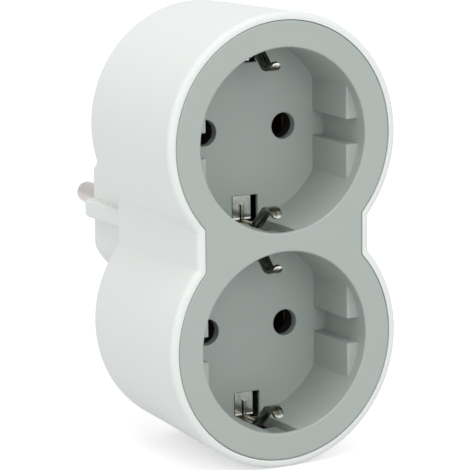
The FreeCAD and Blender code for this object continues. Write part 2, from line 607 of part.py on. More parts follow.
def socket_insert():
    """The grey moulding: a front plate with two cups, guide blocks, floors and screw bosses."""
    body = new_body("socket_insert")
    plate_back = f"({FRONT} - [plate_thickness])"
    outlines = []
    for name, depth in (("plate_back", plate_back), ("plate_front", FRONT)):
        sketch = new_sketch(body, name, "XZ_Plane", depth)
        radius = sleeve_size(BACK_RADIUS, FRONT_RADIUS, depth)
        waist = sleeve_size(BACK_WAIST, FRONT_WAIST, depth)
        edge = "[shell_wall] - [insert_gap]"
        draw_waisted_outline(sketch, f"{radius} - {edge}", f"{waist} - {edge}", "[waist_blend]")
        outlines.append(sketch)
    loft(body, "PartDesign::AdditiveLoft", "plate", *outlines)
    cup = new_sketch(body, "cup_outline", "XZ_Plane", FLOOR_BACK)
    draw_circle(cup, "0", SOCKET_HEIGHT, f"{RECESS_RADIUS} + [cup_wall]")
    upper_cup = pad(body, cup, "cup", f"{FRONT} - {FLOOR_BACK}")
    boss = new_sketch(body, "boss_outline", "XZ_Plane", BOSS_MEET)
    for side in ("-", ""):
        draw_circle(boss, f"{side}[screw_side]", SCREW_HEIGHT, "[screw_radius] + [boss_wall]")
    upper_bosses = pad(body, boss, "bosses", f"{FLOOR_BACK} - {BOSS_MEET}")
    mirror(body, "lower_cup", [upper_cup, upper_bosses])

    # The mouth is a full circle, and behind it the guide blocks and their grooves shape the recess
    mouth = new_sketch(body, "mouth_outline", "XZ_Plane", f"{FRONT} - [guide_set_back]")
    draw_circle(mouth, "0", SOCKET_HEIGHT, RECESS_RADIUS)
    between = new_sketch(body, "between_guides_outline", "XZ_Plane", FLOOR_FRONT)
    draw_flatted_circle(between, SOCKET_HEIGHT, RECESS_RADIUS, GUIDE_SPAN)
    groove = new_sketch(body, "groove_outline", "XZ_Plane", FLOOR_FRONT)
    draw_flatted_circle(
        groove, SOCKET_HEIGHT, RECESS_RADIUS, "([guide_groove_width] / 2)", flats="level"
    )
    channel = new_sketch(body, "channel_outline", "XZ_Plane", FLOOR_FRONT)
    half = CHANNEL_HALF
    low = f"{SOCKET_HEIGHT} - {CHANNEL_BOTTOM}"
    high = f"{SOCKET_HEIGHT} + {CHANNEL_BOTTOM}"
    draw_box(channel, f"-{half}", half, low, high)
    windows = new_sketch(body, "window_outline", "XZ_Plane", FLOOR_FRONT)
    outside = f"{SOCKET_HEIGHT} + {RECESS_RADIUS} + 2 * [cup_wall]"
    draw_box(windows, f"-{half}", half, "0", low)
    draw_box(windows, f"-{half}", half, high, outside)
    slots = new_sketch(body, "slot_outline", "XZ_Plane", FLOOR_BACK)
    draw_box(slots, f"-{half}", half, low, f"{low} + [slot_length]")
    draw_box(slots, f"-{half}", half, f"{high} - [slot_length]", high)
    bed = new_sketch(body, "bow_bed_outline", "XZ_Plane", FLOOR_BACK)
    bed_half = f"({half} + [bed_margin])"
    draw_box(bed, f"-{bed_half}", bed_half, low, high)
    holes = new_sketch(body, "pin_hole_outline", "XZ_Plane", FLOOR_BACK)
    pilot = new_sketch(body, "pilot_outline", "XZ_Plane", BOSS_MEET)
    for side in ("-", ""):
        draw_circle(holes, f"{side}{POLE_SIDE}", SOCKET_HEIGHT, PIN_HOLE_RADIUS)
        draw_circle(pilot, f"{side}[screw_side]", SCREW_HEIGHT, "[screw_radius]")
    inside = "[recess_depth] - [guide_set_back]"
    cuts = [
        pocket(body, mouth, "mouth", "[guide_set_back]"),
        pocket(body, between, "between_guides", inside),
        pocket(body, groove, "guide_grooves", inside),
        pocket(body, channel, "hook_channels", "[recess_depth] - [channel_set_back]"),
        pocket(body, windows, "channel_windows", "[window_length]"),
        pocket(body, slots, "bow_slots", "[floor_thickness]"),
        pocket(body, bed, "bow_bed", "[floor_thickness] - [bed_floor]"),
        pocket(body, holes, "pin_holes", "[floor_thickness]"),
        pocket(body, pilot, "pilot_holes", "[screw_length] - [screw_seat] + [screw_tip_room]"),
    ]
    mirror(body, "lower_recess", cuts)
    round_edges_at(body, "front_edges", FRONT, "[insert_edge_round]")
    block_end = -value_of(f"{FRONT} - [guide_set_back]")
    flat = value_of(GUIDE_SPAN)

    def ends_guide(point):
        return abs(point.y - block_end) < SAME_PLACE and abs(abs(point.x) - flat) < SAME_PLACE

    round_edges(body, "guide_edges", ends_guide, "[guide_round]")
    return body


def plug_pin(label, side):
    """A turned pin with a rounded tip, a shank in the plug and a spigot riveted over its bar."""
    body = new_body(label)
    sketch = new_sketch(body, "pin_profile", "XY_Plane")
    head_end = f"({BAR_FRONT} + [spigot_head_height])"
    head_radius = f"({SPIGOT_RADIUS} + [spigot_head_rim])"
    draw_polygon(sketch, [
        ("0", f"-{head_end}"),
        (head_radius, f"-{head_end}"),
        (head_radius, f"-{BAR_FRONT}"),
        (SPIGOT_RADIUS, f"-{BAR_FRONT}"),
        (SPIGOT_RADIUS, f"-{BAR_BACK}"),
        (SHANK_RADIUS, f"-{BAR_BACK}"),
        (SHANK_RADIUS, "0"),
        ("[pin_radius]", "0"),
        ("[pin_radius]", "[pin_length]"),
        ("0", "[pin_length]"),
    ])
    revolve(body, sketch, "turned_pin")
    round_edges_at(body, "rounded_tip", "-[pin_length]", "[pin_tip_round]")
    round_edges_at(body, "rounded_head", head_end, "[spigot_head_round]")
    body.setExpression("Placement.Base.x", size(f"{side}{POLE_SIDE}"))
    return body


def pole_bar(label, side):
    """A flat bar against the back wall, from one socket past the plug pin to the other socket."""
    body = new_body(label)
    sketch = new_sketch(body, "bar_outline", "XZ_Plane", BAR_BACK)
    reach = f"({SOCKET_HEIGHT} + [bar_overhang])"
    draw_box(sketch, "-[bar_width] / 2", "[bar_width] / 2", f"-{reach}", reach)
    draw_circle(sketch, "0", "0", SPIGOT_RADIUS)
    pad(body, sketch, "bar", "[bar_thickness]")
    body.setExpression("Placement.Base.x", size(f"{side}{POLE_SIDE}"))
    return body


def socket_clip(label, side, lift):
    """A sprung fork: two arms that grip a pin from both sides, on a base welded to the bar."""
    body = new_body(label)
    top = f"({FLOOR_BACK} - [carrier_front] - [clip_clearance])"
    grip = f"({top} - [clip_pinch_drop])"
    shoulder = f"({grip} - [clip_pinch_drop])"
    base = f"({BAR_FRONT} + [clip_thickness] / 2)"
    mouth = "([pin_radius] + [clip_flare])"
    foot = "([pin_radius] + [clip_room])"
    arm = [
        (mouth, f"-{top}"),
        (mouth, f"-({top} - [clip_lip])"),
        ("([pin_radius] - [clip_squeeze])", f"-{grip}"),
        (foot, f"-{shoulder}"),
        (foot, f"-{base}"),
    ]
    path = new_sketch(body, "clip_path", "XY_Plane")
    left = [(f"-{across}", depth) for across, depth in arm]
    corners = left + arm[::-1]
    draw_bent_path(path, corners, ["[clip_bend]"] * (len(corners) - 2))
    section = new_sketch(body, "clip_section", "XZ_Plane", top)
    half = "[clip_width] / 2"
    draw_box(
        section,
        f"-({mouth} + [clip_thickness] / 2)",
        f"-({mouth} - [clip_thickness] / 2)",
        f"-{half}",
        half,
    )
    pipe(body, "fork", section, path)
    body.setExpression("Placement.Base.x", size(f"{side}{POLE_SIDE}"))
    body.setExpression("Placement.Base.z", size(f"{lift}{SOCKET_HEIGHT}"))
    return body


def contact_carrier(label, lift):
    """An insulating moulding between the floor and the bars: two chambers joined by a web."""
    body = new_body(label)
    inner_z = "([clip_width] / 2 + [clip_clearance])"
    outer_x = f"({CHAMBER_HALF} + [carrier_wall])"
    outer_z = f"({inner_z} + [carrier_wall])"
    blocks = new_sketch(body, "block_outline", "XZ_Plane", BAR_FRONT)
    chambers = new_sketch(body, "chamber_outline", "XZ_Plane", BAR_FRONT)
    holes = new_sketch(body, "hole_outline", "XZ_Plane", BAR_FRONT)
    for pole in (f"-{POLE_SIDE}", POLE_SIDE):
        draw_box(blocks, f"{pole} - {outer_x}", f"{pole} + {outer_x}", f"-{outer_z}", outer_z)
        draw_box(chambers, f"{pole} - {CHAMBER_HALF}", f"{pole} + {CHAMBER_HALF}", f"-{inner_z}", inner_z)
        draw_circle(holes, pole, "0", f"{PIN_HOLE_RADIUS} + [carrier_hole_gap]")
    full = f"{FLOOR_BACK} - {BAR_FRONT}"
    pad(body, blocks, "blocks", full)
    web = new_sketch(body, "web_outline", "XZ_Plane", f"{STRIP_BACK} - [web_thickness]")
    reach = f"({POLE_SIDE} - {CHAMBER_HALF})"
    draw_box(web, f"-{reach}", reach, "-[web_half_height]", "[web_half_height]")
    draw_circle(web, "0", "0", "[rivet_radius] + [rivet_head_rim] + [rivet_head_gap]")
    pad(body, web, "web", "[web_thickness]")
    pocket(body, chambers, "chambers", f"{full} - [carrier_front]")
    pocket(body, holes, "pin_holes", full)
    body.setExpression("Placement.Base.z", size(f"{lift}{SOCKET_HEIGHT}"))
    return body


def earth_bow(label, lift):
    """A wide strip behind the floor, bent forward at both ends into two narrow sprung hooks."""
    body = new_body(label)
    middle = f"({BOW_BACK} + [earth_thickness] / 2)"
    wide = new_sketch(body, "strip_path", "YZ_Plane")
    draw_bent_path(wide, [
        (f"-{FLOOR_FRONT}", f"-{RISER}"),
        (f"-{middle}", f"-{RISER}"),
        (f"-{middle}", RISER),
        (f"-{FLOOR_FRONT}", RISER),
    ], ["[hook_bend]"] * 2)
    inner = f"({RISER} - [earth_thickness] / 2)"
    outer = f"({RISER} + [earth_thickness] / 2)"
    section = new_sketch(body, "strip_section", "XZ_Plane", FLOOR_FRONT)
    draw_box(section, f"-{BOW_HALF}", BOW_HALF, f"-{outer}", f"-{inner}")
    pipe(body, "strip", section, wide)

    tip_depth = f"({FRONT} - [hook_tip] + [hook_lean])"
    tip_height = f"({CREST} + [hook_curl])"
    hook_path = new_sketch(body, "hook_path", "YZ_Plane")
    draw_bent_path(hook_path, [
        (f"-{FLOOR_FRONT}", RISER),
        (f"-({FRONT} - [hook_foot])", RISER),
        (f"-({FRONT} - [hook_ramp_end])", CREST),
        (f"-({FRONT} - [hook_tip])", CREST),
        (f"-{tip_depth}", tip_height),
    ], ["[hook_bend]", "[crest_bend]", "[crest_bend]"])
    hook_section = new_sketch(body, "hook_section", "XZ_Plane", FLOOR_FRONT)
    draw_box(hook_section, "-[hook_width] / 2", "[hook_width] / 2", inner, outer)
    hook = pipe(body, "hook", hook_section, hook_path)

    # A bead pressed along the inner face, from behind the floor through the bend and up the ramp
    bead_start = f"({RISER} - [bead_length])"
    bead_path = new_sketch(body, "bead_path", "YZ_Plane")
    draw_bent_path(bead_path, [
        (f"-{BOW_FRONT}", bead_start),
        (f"-{BOW_FRONT}", inner),
        (f"-{FLOOR_FRONT}", inner),
    ], ["([hook_bend] - [earth_thickness] / 2)"])
    bead_section = new_sketch(body, "bead_section", "XY_Plane", bead_start)
    draw_circle(bead_section, "0", f"-{BOW_FRONT}", "[bead_radius]")
    bead = pipe(body, "bead", bead_section, bead_path)
    climb = "(([hook_foot] - [bead_end]) / ([hook_foot] - [hook_ramp_end]))"
    ramp_path = new_sketch(body, "ramp_bead_path", "YZ_Plane")
    draw_bent_path(ramp_path, [
        (f"-{FLOOR_FRONT}", RISER),
        (f"-({FRONT} - [hook_foot])", RISER),
        (f"-({FRONT} - [bead_end])", f"{RISER} - [hook_rise] * {climb}"),
    ], ["[hook_bend]"])
    ramp_section = new_sketch(body, "ramp_bead_section", "XZ_Plane", FLOOR_FRONT)
    draw_circle(ramp_section, "0", inner, "[bead_radius]")
    ramp_bead = pipe(body, "ramp_bead", ramp_section, ramp_path)
    groove_section = new_sketch(body, "groove_section", "XZ_Plane", FLOOR_FRONT)
    draw_circle(groove_section, "0", outer, "[bead_groove]")
    groove = pipe(body, "bead_groove", groove_section, ramp_path, "PartDesign::SubtractivePipe")
    mirror(body, "other_hook", [hook, bead, ramp_bead, groove])

    # The end of a hook is square to the last leg of its path
    end = Vector(0, -value_of(tip_depth), value_of(tip_height))
    along = Vector(0, -value_of("[hook_lean]"), value_of("[hook_curl]")).normalize()
    side = value_of("[hook_width] / 2")

    def ends_hook(point):
        past = (Vector(0, point.y, abs(point.z)) - end).dot(along)
        return abs(past) < SAME_PLACE and abs(abs(point.x) - side) < SAME_PLACE

    round_edges(body, "hook_ends", ends_hook, "[hook_end_round]")

    hole = new_sketch(body, "rivet_hole_outline", "XZ_Plane", BOW_BACK)
    draw_circle(hole, "0", "[bow_drop]", "[rivet_radius]")
    pocket(body, hole, "rivet_hole", "[earth_thickness]")
    body.setExpression("Placement.Base.z", size(f"{lift}{SOCKET_HEIGHT} - [bow_drop]"))
    return body


def earth_bar():
    """The flat strip behind the two bows, riveted to both."""
    body = new_body("earth_bar")
    sketch = new_sketch(body, "bar_outline", "XZ_Plane", EARTH_BAR_BACK)
    half = f"({BOW_HALF} - [earth_bar_step])"
    reach = f"({SOCKET_HEIGHT} + [earth_bar_overhang])"
    draw_box(sketch, f"-{half}", half, f"-{reach}", reach)
    draw_circle(sketch, "0", SOCKET_HEIGHT, "[rivet_radius]")
    draw_circle(sketch, "0", f"-{SOCKET_HEIGHT}", "[rivet_radius]")
    pad(body, sketch, "bar", "[earth_thickness]")
    return body


def plug_earth_strip(label, lift):
    """A strip riveted behind the earth bar that runs back into a pocket of the plug as its contact."""
    body = new_body(label)
    foot = f"-({STRIP_BACK} + [earth_thickness] / 2)"
    leg = f"{lift}({EARTH_POCKET} + [earth_thickness] / 2)"
    end = f"{lift}({SOCKET_HEIGHT} + [plug_strip_overhang])"
    path = new_sketch(body, "strip_path", "YZ_Plane")
    draw_bent_path(path, [
        ("-[plug_strip_set_back]", leg),
        (foot, leg),
        (foot, end),
    ], ["[plug_strip_bend]"])
    section = new_sketch(body, "strip_section", "XZ_Plane", "[plug_strip_set_back]")
    sheet_half = "[earth_thickness] / 2"
    draw_box(section, f"-{STRIP_HALF}", STRIP_HALF, f"{leg} - {sheet_half}", f"{leg} + {sheet_half}")
    pipe(body, "strip", section, path)
    hole = new_sketch(body, "rivet_hole_outline", "XZ_Plane", STRIP_BACK)
    draw_circle(hole, "0", f"{lift}{SOCKET_HEIGHT}", "[rivet_radius]")
    pocket(body, hole, "rivet_hole", "[earth_thickness]")
    return body


def pin_holder():
    """The insulating core of the plug, between its face and the bars."""
    body = new_body("pin_holder")
    sketch = new_sketch(body, "core_outline", "XZ_Plane", "[plug_face_thickness]")
    draw_hollow(sketch, "[holder_gap]")
    for side in ("-", ""):
        draw_circle(sketch, f"{side}{POLE_SIDE}", "0", SHANK_RADIUS)
    pad(body, sketch, "core", f"{BAR_BACK} - [plug_face_thickness]")
    return body


def earth_rivets():
    """Two rivets that join a bow, the earth bar and a plug strip, one behind each socket."""
    body = new_body("earth_rivets")
    body.AllowCompound = True
    sketch = new_sketch(body, "rivet_profile", "XY_Plane", SOCKET_HEIGHT)
    front_end = f"-({BOW_FRONT} + [rivet_head_height])"
    back_end = f"-({STRIP_BACK} - [rivet_head_height])"
    head_radius = "([rivet_radius] + [rivet_head_rim])"
    draw_polygon(sketch, [
        ("0", front_end),
        (head_radius, front_end),
        (head_radius, f"-{BOW_FRONT}"),
        ("[rivet_radius]", f"-{BOW_FRONT}"),
        ("[rivet_radius]", f"-{STRIP_BACK}"),
        (head_radius, f"-{STRIP_BACK}"),
        (head_radius, back_end),
        ("0", back_end),
    ])
    rivet = revolve(body, sketch, "rivet")
    mirror(body, "lower_rivet", [rivet])
    return body


def rear_screws():
    """Four cross-head screws, sunk in the shell's back, that hold the insert's bosses."""
    body = new_body("rear_screws")
    body.AllowCompound = True
    sketch = new_sketch(body, "screw_profile", "XY_Plane", SCREW_HEIGHT)
    head = f"({SCREW_SEAT} - [screw_head_height])"
    tip = f"({SCREW_SEAT} + [screw_length])"
    middle = "[screw_side]"
    draw_polygon(sketch, [
        (middle, f"-{head}"),
        (f"{middle} + {SCREW_HEAD_RADIUS}", f"-{head}"),
        (f"{middle} + {SCREW_HEAD_RADIUS}", f"-{SCREW_SEAT}"),
        (f"{middle} + [screw_radius]", f"-{SCREW_SEAT}"),
        (f"{middle} + [screw_radius]", f"-({tip} - [screw_point])"),
        (middle, f"-{tip}"),
    ])
    axis = sketch.addGeometry(
        Part.LineSegment(point_at(middle, f"-{head}"), point_at(middle, f"-{tip}")), True
    )
    tie_point(sketch, axis, 1, middle, f"-{head}")
    tie_point(sketch, axis, 2, middle, f"-{tip}")
    turned = revolve(body, sketch, "turned_screw", "Axis0")
    rounded = round_edges_at(body, "rounded_head", head, "[screw_head_round]")
    cross = new_sketch(body, "cross_outline", "XZ_Plane", head)
    long = "[cross_length] / 2"
    short = "[cross_width] / 2"
    draw_polygon(cross, [
        (f"{middle} + {across}", f"{SCREW_HEIGHT} + {up}")
        for across, up in (
            (f"-{long}", f"-{short}"), (f"-{short}", f"-{short}"), (f"-{short}", f"-{long}"),
            (short, f"-{long}"), (short, f"-{short}"), (long, f"-{short}"),
            (long, short), (short, short), (short, long),
            (f"-{short}", long), (f"-{short}", short), (f"-{long}", short),
        )
    ])
    recess = pocket(body, cross, "cross_recess", "[cross_depth]")
    repeat = body.newObject("PartDesign::MultiTransform", "four_screws")
    repeat.Originals = [turned, rounded, recess]
    steps = []
    for name, role in (("other_side", "YZ_Plane"), ("below", "XY_Plane")):
        step = doc.addObject("PartDesign::Mirrored", name)
        step.MirrorPlane = (origin_feature(body, role), [""])
        steps.append(step)
    repeat.Transformations = steps
    body.Tip = repeat
    doc.recompute()
    return body


nodes = [
    housing_shell(),
    socket_insert(),
    earth_bar(),
    pin_holder(),
    earth_rivets(),
    rear_screws(),
]
for word, side in (("left", "-"), ("right", "")):
    nodes.append(plug_pin(f"{word}_plug_pin", side))
for word, side in (("line", "-"), ("neutral", "")):
    nodes.append(pole_bar(f"{word}_bar", side))
for level, lift in (("upper", ""), ("lower", "-")):
    nodes.append(earth_bow(f"{level}_earth_bow", lift))
    nodes.append(plug_earth_strip(f"{level}_plug_earth_strip", lift))
    nodes.append(contact_carrier(f"{level}_contact_carrier", lift))
    for word, side in (("left", "-"), ("right", "")):
        nodes.append(socket_clip(f"{level}_{word}_socket_clip", side, lift))
doc.recompute()

for thing in doc.Objects:
    if {"Invalid", "Error"} & set(thing.State):
        raise RuntimeError(f"{thing.Label} failed: {thing.State}")
os.makedirs("parts", exist_ok=True)
for body in nodes:
    shape = body.Shape
    if shape.isNull() or not shape.isValid():
        raise RuntimeError(f"{body.Label} has no valid shape")
    shape.exportStep(f"parts/{body.Label}.step")
    print(f"{body.Label}: {len(shape.Solids)} solid, {shape.Volume:.1f} cubic mm")
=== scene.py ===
import json
import logging
import math
from dataclasses import dataclass
from enum import Enum

import bpy
from mathutils import Matrix, Vector


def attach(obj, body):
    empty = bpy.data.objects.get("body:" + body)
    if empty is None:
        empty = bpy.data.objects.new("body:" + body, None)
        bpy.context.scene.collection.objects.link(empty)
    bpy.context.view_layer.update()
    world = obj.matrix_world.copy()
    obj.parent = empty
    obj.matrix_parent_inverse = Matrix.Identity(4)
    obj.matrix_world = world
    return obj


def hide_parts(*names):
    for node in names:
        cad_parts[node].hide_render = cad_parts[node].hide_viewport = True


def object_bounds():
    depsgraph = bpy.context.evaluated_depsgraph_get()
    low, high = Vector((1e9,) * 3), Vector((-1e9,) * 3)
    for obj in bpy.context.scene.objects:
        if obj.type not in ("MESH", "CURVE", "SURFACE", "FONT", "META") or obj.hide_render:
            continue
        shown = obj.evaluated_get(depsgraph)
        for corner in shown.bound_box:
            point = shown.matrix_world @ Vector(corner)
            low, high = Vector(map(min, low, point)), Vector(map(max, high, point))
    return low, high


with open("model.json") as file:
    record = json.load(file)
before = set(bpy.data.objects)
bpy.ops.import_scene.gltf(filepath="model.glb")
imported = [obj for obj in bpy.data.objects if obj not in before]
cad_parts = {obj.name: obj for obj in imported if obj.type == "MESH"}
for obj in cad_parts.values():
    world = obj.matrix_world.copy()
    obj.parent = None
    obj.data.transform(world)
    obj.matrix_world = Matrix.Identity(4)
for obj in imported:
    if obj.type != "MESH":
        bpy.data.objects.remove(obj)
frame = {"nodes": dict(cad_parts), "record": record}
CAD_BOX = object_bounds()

LOG = logging.getLogger("socket_adapter")
MM = 0.001
BODY = "root"


class Slot(Enum):
    """The record's material slots."""

    SHELL = "white_shell"
    INSERT = "grey_insert"
    PIN = "nickel_pin"
    STRIP = "nickel_strip"
    BRASS = "brass_contact"
    FASTENER = "steel_fastener"
    INNER = "inner_moulding"


class Graph:
    """A node tree while it is being wired."""

    def __init__(self, tree: bpy.types.NodeTree) -> None:
        """Takes the tree to add nodes to.

        Args:
            tree: An empty shader or geometry node tree.
        """
        self.tree = tree

    def add(self, kind: str, values: dict | None = None, **settings: object) -> bpy.types.Node:
        """Adds one node.

        Args:
            kind: The node's type name.
            values: Socket values by name or position. A socket given here is linked to it.
            **settings: Attributes of the node itself.

        Returns:
            The new node.
        """
        node = self.tree.nodes.new(kind)
        for name, value in settings.items():
            setattr(node, name, value)
        for key, value in (values or {}).items():
            if isinstance(value, bpy.types.NodeSocket):
                self.tree.links.new(value, node.inputs[key])
            else:
                node.inputs[key].default_value = value
        return node

    def math(self, operation: str, one: object, two: object = 0.0) -> bpy.types.NodeSocket:
        """Adds a math node.

        Args:
            operation: The math node's operation.
            one: First operand, a number or a socket.
            two: Second operand, a number or a socket.

        Returns:
            The node's output.
        """
        return self.add("ShaderNodeMath", {0: one, 1: two}, operation=operation).outputs[0]

    def pick(self, index: bpy.types.NodeSocket, values: list[object]) -> bpy.types.NodeSocket:
        """Adds a list of numbers that is read by index.

        Args:
            index: Which value to take.
            values: The values, numbers or sockets, at least two.

        Returns:
            The node's output.
        """
        node = self.tree.nodes.new("GeometryNodeIndexSwitch")
        node.data_type = "FLOAT"
        for _ in values[2:]:
            node.index_switch_items.new()
        self.tree.links.new(index, node.inputs[0])
        for k, value in enumerate(values, start=1):
            if isinstance(value, bpy.types.NodeSocket):
                self.tree.links.new(value, node.inputs[k])
            else:
                node.inputs[k].default_value = value
        return node.outputs[0]


def new_group(
    kind: str, name: str, inputs: dict[str, str], outputs: dict[str, str]
) -> bpy.types.NodeTree:
    """Makes a node group with named sockets.

    Args:
        kind: "ShaderNodeTree" or "GeometryNodeTree".
        name: The group's name.
        inputs: Socket type by input name.
        outputs: Socket type by output name.

    Returns:
        The new group, with its sockets and no nodes.
    """
    tree = bpy.data.node_groups.new(name, kind)
    for in_out, sockets in (("INPUT", inputs), ("OUTPUT", outputs)):
        for label, socket_type in sockets.items():
            tree.interface.new_socket(name=label, in_out=in_out, socket_type=socket_type)
    return tree


def mix_colours(graph: Graph, share: object, one: object, two: object) -> bpy.types.NodeSocket:
    """Mixes two colours.

    Args:
        graph: The shader tree.
        share: How much of the second colour there is, from 0 to 1.
        one: First colour.
        two: Second colour.

    Returns:
        The mixed colour's socket.
    """
    values = {"Factor": share, "A": one, "B": two}
    mixed = graph.add("ShaderNodeMix", values, data_type="RGBA")
    return next(s for s in mixed.outputs if s.type == "RGBA")


FLOAT = "NodeSocketFloat"
COLOUR = "NodeSocketColor"
VECTOR = "NodeSocketVector"
COUNT = "NodeSocketInt"
FINISH = "NodeSocketMaterial"
SHAPE = "NodeSocketGeometry"

# How a moulded skin's noise spreads into its sheen, and how much its pits add to its relief.
SHEEN_SPREAD = 0.6
SHEEN_BASE = 0.2
PIT_SHARE = 0.35
# A noise's middle value, and those at which a rolled skin is at its smoothest and roughest.
NOISE_MIDDLE = 0.5
SMOOTHEST = 0.3
ROUGHEST = 0.7
# Cosines between which a slope turns into a face that looks to the sockets' mouths, where the
# painted highlight comes in.
SLOPE_FACING = 0.82
FLAT_FACING = 0.97


def moulded_skin_group() -> bpy.types.NodeTree:
    """The skin of a moulded plastic: a fine eroded grain and faint flow mottling.

    Returns:
        A shader group that puts out a colour, a roughness and a height.
    """
    tree = new_group(
        "ShaderNodeTree",
        "moulded_skin",
        {
            "Position": VECTOR, "Plain Colour": COLOUR, "Flow Colour": COLOUR,
            "Flow Size": FLOAT, "Grain Size": FLOAT, "Smooth": FLOAT, "Rough": FLOAT,
        },
        {"Colour": COLOUR, "Roughness": FLOAT, "Height": FLOAT},
    )
    graph = Graph(tree)
    given = graph.add("NodeGroupInput").outputs
    flow_scale = graph.math("DIVIDE", 1.0, given["Flow Size"])
    grain_scale = graph.math("DIVIDE", 1.0, given["Grain Size"])
    flow = graph.add(
        "ShaderNodeTexNoise",
        {"Vector": given["Position"], "Scale": flow_scale, "Detail": 3.0, "Roughness": 0.55},
    )
    grain = graph.add(
        "ShaderNodeTexNoise",
        {"Vector": given["Position"], "Scale": grain_scale, "Detail": 2.0, "Roughness": 0.6},
    )
    pits = graph.add(
        "ShaderNodeTexVoronoi",
        {"Vector": given["Position"], "Scale": grain_scale},
        feature="SMOOTH_F1",
    )
    colour = mix_colours(graph, flow.outputs[0], given["Plain Colour"], given["Flow Colour"])
    sheen = graph.math("MULTIPLY_ADD", grain.outputs[0], SHEEN_SPREAD)
    sheen.node.inputs[2].default_value = SHEEN_BASE
    rough = graph.add(
        "ShaderNodeMapRange",
        {"Value": sheen, "To Min": given["Smooth"], "To Max": given["Rough"]},
    )
    pitting = graph.math("MULTIPLY", pits.outputs[0], PIT_SHARE)
    height = graph.math("ADD", grain.outputs[0], pitting)
    graph.add(
        "NodeGroupOutput",
        {"Colour": colour, "Roughness": rough.outputs[0], "Height": height},
    )
    return tree


def rolled_metal_group() -> bpy.types.NodeTree:
    """The skin of rolled, plated or turned metal: fine streaks along one axis and dull patches.

    Faces that look to the sockets' mouths may be painted brighter than slopes and bends: a painted
    highlight, standing in for the bright reflection such faces catch.

    Returns:
        A shader group that puts out a colour, a roughness and a height.
    """
    tree = new_group(
        "ShaderNodeTree",
        "rolled_metal",
        {
            "Position": VECTOR, "Normal": VECTOR, "Stretch": VECTOR,
            "Bright Colour": COLOUR, "Dull Colour": COLOUR,
            "Streak Size": FLOAT, "Patch Size": FLOAT, "Streak Contrast": FLOAT,
            "Darkening": FLOAT, "Painted Highlight": FLOAT, "Smooth": FLOAT, "Rough": FLOAT,
        },
        {"Colour": COLOUR, "Roughness": FLOAT, "Height": FLOAT},
    )
    graph = Graph(tree)
    given = graph.add("NodeGroupInput").outputs
    drawn_out = graph.add(
        "ShaderNodeVectorMath",
        {0: given["Position"], 1: given["Stretch"]},
        operation="MULTIPLY",
    )
    streaks = graph.add(
        "ShaderNodeTexNoise",
        {
            "Vector": drawn_out.outputs[0],
            "Scale": graph.math("DIVIDE", 1.0, given["Streak Size"]),
            "Detail": 4.0,
            "Roughness": 0.65,
        },
    )
    patches = graph.add(
        "ShaderNodeTexNoise",
        {
            "Vector": given["Position"],
            "Scale": graph.math("DIVIDE", 1.0, given["Patch Size"]),
            "Detail": 3.0,
            "Roughness": 0.6,
        },
    )
    # Painted highlight: faces turned towards -Y, the sockets' mouths, are moved towards the bright
    # colour as reflected light would brighten them; slopes and bends are not.
    facing = graph.add(
        "ShaderNodeVectorMath", {0: given["Normal"], 1: (0.0, -1.0, 0.0)}, operation="DOT_PRODUCT"
    )
    painted_highlight_mask = graph.add(
        "ShaderNodeMapRange",
        {
            "Value": facing.outputs["Value"], "From Min": SLOPE_FACING, "From Max": FLAT_FACING,
            "To Max": given["Painted Highlight"],
        },
        interpolation_type="SMOOTHSTEP",
    )
    centred = graph.math("SUBTRACT", streaks.outputs[0], NOISE_MIDDLE)
    lines = graph.math("MULTIPLY", centred, given["Streak Contrast"])
    # Random dull patches and streaks, shifted darker by the darkening input, which on the strip
    # paints shade.
    wear_and_shade = graph.math("ADD", graph.math("ADD", patches.outputs[0], lines), given["Darkening"])
    dull_share = graph.math("SUBTRACT", wear_and_shade, painted_highlight_mask.outputs[0])
    colour = mix_colours(graph, dull_share, given["Bright Colour"], given["Dull Colour"])
    mean = graph.math("MULTIPLY", graph.math("ADD", streaks.outputs[0], patches.outputs[0]), 0.5)
    rough = graph.add(
        "ShaderNodeMapRange",
        {
            "Value": mean, "From Min": SMOOTHEST, "From Max": ROUGHEST,
            "To Min": given["Smooth"], "To Max": given["Rough"],
        },
    )
    graph.add(
        "NodeGroupOutput",
        {"Colour": colour, "Roughness": rough.outputs[0], "Height": streaks.outputs[0]},
    )
    return tree


# Rays with which the Bevel node softens an edge.
EDGE_SAMPLES = 6


def coat(
    name: str,
    skin: bpy.types.NodeTree,
    skin_values: dict[str, object],
    edge_radius: float,
    relief: float,
    shader_values: dict[str, float],
) -> bpy.types.Material:
    """Makes a material: a shared skin on a Principled shader, with softened edges.

    Args:
        name: The material's name.
        skin: The shared skin's group.
        skin_values: The skin's numbers and colours by input name.
        edge_radius: How far edges are softened, in metres.
        relief: How deep the skin's relief is, in metres.
        shader_values: The shader's own numbers by input name.

    Returns:
        The finished material.
    """
    material = bpy.data.materials.new(name)
    material.use_nodes = True
    material.node_tree.nodes.clear()
    graph = Graph(material.node_tree)
    where = graph.add("ShaderNodeTexCoord").outputs
    group = graph.add("ShaderNodeGroup", skin_values, node_tree=skin)
    for label, source in (("Position", where["Object"]), ("Normal", where["Normal"])):
        if label in group.inputs:
            graph.tree.links.new(source, group.inputs[label])
    rounded = graph.add("ShaderNodeBevel", {"Radius": edge_radius}, samples=EDGE_SAMPLES)
    bump = graph.add(
        "ShaderNodeBump",
        {
            "Height": group.outputs["Height"],
            "Normal": rounded.outputs[0],
            "Distance": relief,
            "Strength": 1.0,
        },
    )
    shader = graph.add(
        "ShaderNodeBsdfPrincipled",
        {
            "Base Color": group.outputs["Colour"],
            "Roughness": group.outputs["Roughness"],
            "Normal": bump.outputs[0],
            **shader_values,
        },
    )
    graph.add("ShaderNodeOutputMaterial", {"Surface": shader.outputs[0]})
    return material


